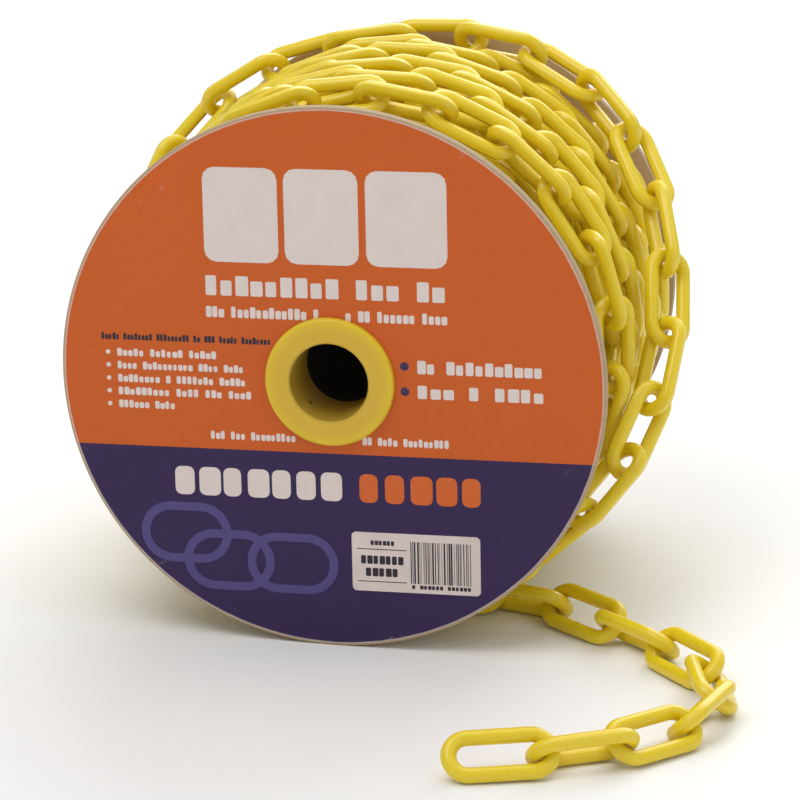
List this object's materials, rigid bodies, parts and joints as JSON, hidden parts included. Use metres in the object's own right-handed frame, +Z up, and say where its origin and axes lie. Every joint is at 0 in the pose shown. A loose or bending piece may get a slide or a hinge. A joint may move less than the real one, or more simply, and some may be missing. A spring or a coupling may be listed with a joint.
{
  "type": "reel of plastic barrier chain",
  "caption": "Reel of plastic barrier chain on a flanged board spool with a hub bore, its free end paid out along the floor.",
  "frame": {"origin": "centre of the reel on the spindle axis, midway between the flange boards", "axes": "+Y along the spindle axis towards the back board, +X towards the side where the chain pays out, +Z up; the reel stands on its flange rims"},
  "size_m": [0.4075, 0.447, 0.3062],
  "materials": {
    "yellow_plastic": "glossy moulded polyethylene",
    "hub_plastic": "satin moulded polyethylene",
    "kraft_board": "kraft fibreboard",
    "kraft_tube": "spiral-wound kraft tube",
    "printed_paper": "printed, lightly coated",
    "white_sticker": "white label paper"
  },
  "bodies": {
    "reel": {"front_flange": "kraft_board", "back_flange": "kraft_board", "core_tube": "kraft_tube", "front_label": "printed_paper", "barcode_sticker": "white_sticker", "front_hub_bush": "hub_plastic", "back_hub_bush": "hub_plastic", "wound_layer_1": "yellow_plastic", "wound_layer_2": "yellow_plastic", "wound_layer_3": "yellow_plastic", "wound_layer_4": "yellow_plastic", "outer_layer": "yellow_plastic", "loose_turn": "yellow_plastic"},
    "floor_link_1": {"floor_link_1": "yellow_plastic"},
    "floor_link_2": {"floor_link_2": "yellow_plastic"},
    "floor_link_3": {"floor_link_3": "yellow_plastic"},
    "floor_link_4": {"floor_link_4": "yellow_plastic"},
    "floor_link_5": {"floor_link_5": "yellow_plastic"},
    "floor_link_6": {"floor_link_6": "yellow_plastic"},
    "floor_link_7": {"floor_link_7": "yellow_plastic"},
    "floor_link_8": {"floor_link_8": "yellow_plastic"},
    "floor_link_9": {"floor_link_9": "yellow_plastic"}
  },
  "joints": [
    {"name": "floor_link_1_swing", "type": "hinge", "parent": "reel", "child": "floor_link_1", "pos_m": [0.0795, -0.0569, -0.139], "axis": [0, 0, 1], "range_deg": [-8, 19]},
    {"name": "floor_link_2_swing", "type": "hinge", "parent": "floor_link_1", "child": "floor_link_2", "pos_m": [0.1196, -0.0707, -0.139], "axis": [0, 0, 1], "range_deg": [-3, 24]},
    {"name": "floor_link_3_swing", "type": "hinge", "parent": "floor_link_2", "child": "floor_link_3", "pos_m": [0.1525, -0.0971, -0.139], "axis": [0, 0, 1], "range_deg": [-13, 16]},
    {"name": "floor_link_4_swing", "type": "hinge", "parent": "floor_link_3", "child": "floor_link_4", "pos_m": [0.1853, -0.1244, -0.139], "axis": [0, 0, 1], "range_deg": [-9, 19]},
    {"name": "floor_link_5_swing", "type": "hinge", "parent": "floor_link_4", "child": "floor_link_5", "pos_m": [0.2128, -0.1567, -0.139], "axis": [0, 0, 1], "range_deg": [-11, 18]},
    {"name": "floor_link_6_swing", "type": "hinge", "parent": "floor_link_5", "child": "floor_link_6", "pos_m": [0.221, -0.1986, -0.139], "axis": [0, 0, 1], "range_deg": [-3, 23]},
    {"name": "floor_link_7_swing", "type": "hinge", "parent": "floor_link_6", "child": "floor_link_7", "pos_m": [0.2082, -0.2393, -0.139], "axis": [0, 0, 1], "range_deg": [-11, 18]},
    {"name": "floor_link_8_swing", "type": "hinge", "parent": "floor_link_7", "child": "floor_link_8", "pos_m": [0.179, -0.2711, -0.139], "axis": [0, 0, 1], "range_deg": [-6, 18]},
    {"name": "floor_link_9_swing", "type": "hinge", "parent": "floor_link_8", "child": "floor_link_9", "pos_m": [0.1414, -0.2914, -0.139], "axis": [0, 0, 1], "range_deg": [-2, 24]}
  ]
}
